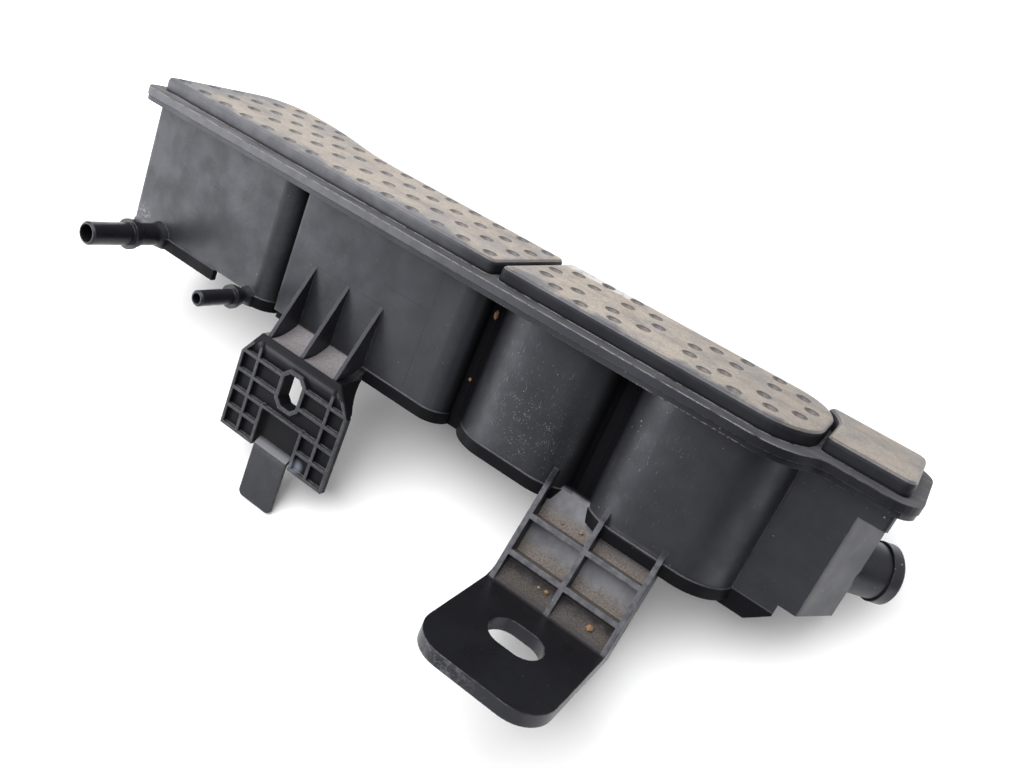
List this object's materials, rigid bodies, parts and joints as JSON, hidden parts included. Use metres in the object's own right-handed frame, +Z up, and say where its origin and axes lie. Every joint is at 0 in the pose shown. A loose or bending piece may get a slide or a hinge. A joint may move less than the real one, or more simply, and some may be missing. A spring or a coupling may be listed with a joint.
{
  "type": "charcoal canister",
  "caption": "Long moulded charcoal canister of a fuel vapour line, with a dimpled welded lid, hose spigots, a vent port, a ribbed hanging plate and a slotted foot.",
  "frame": {"origin": "middle of the slot in the foot, on the foot's underside", "axes": "+X along the canister towards the vent port, +Y from the bracket side to the back, +Z up through the lid"},
  "size_m": [0.4283, 0.1644, 0.1694],
  "materials": {
    "body_plastic": "black glass-filled nylon, moulded, dusty and scuffed",
    "lid_plastic": "black glass-filled nylon under a layer of beige dust",
    "fleece": "needled white fleece",
    "carbon": "packed carbon pellets",
    "natural_plastic": "uncoloured moulded plastic",
    "spring_steel": "drawn wire"
  },
  "bodies": {
    "root": {"canister_body": "body_plastic", "lid": "lid_plastic", "lower_fleece_1": "fleece", "lower_fleece_2": "fleece", "lower_fleece_3": "fleece", "lower_fleece_4": "fleece", "carbon_bed_1": "carbon", "carbon_bed_2": "carbon", "carbon_bed_3": "carbon", "carbon_bed_4": "carbon", "upper_fleece_1": "fleece", "upper_fleece_2": "fleece", "upper_fleece_3": "fleece", "upper_fleece_4": "fleece", "pressure_plate_1": "natural_plastic", "pressure_plate_2": "natural_plastic", "pressure_plate_3": "natural_plastic", "pressure_plate_4": "natural_plastic", "spring_1_left": "spring_steel", "spring_1_right": "spring_steel", "spring_2_left": "spring_steel", "spring_2_right": "spring_steel", "spring_3": "spring_steel", "spring_4": "spring_steel"}
  },
  "joints": []
}
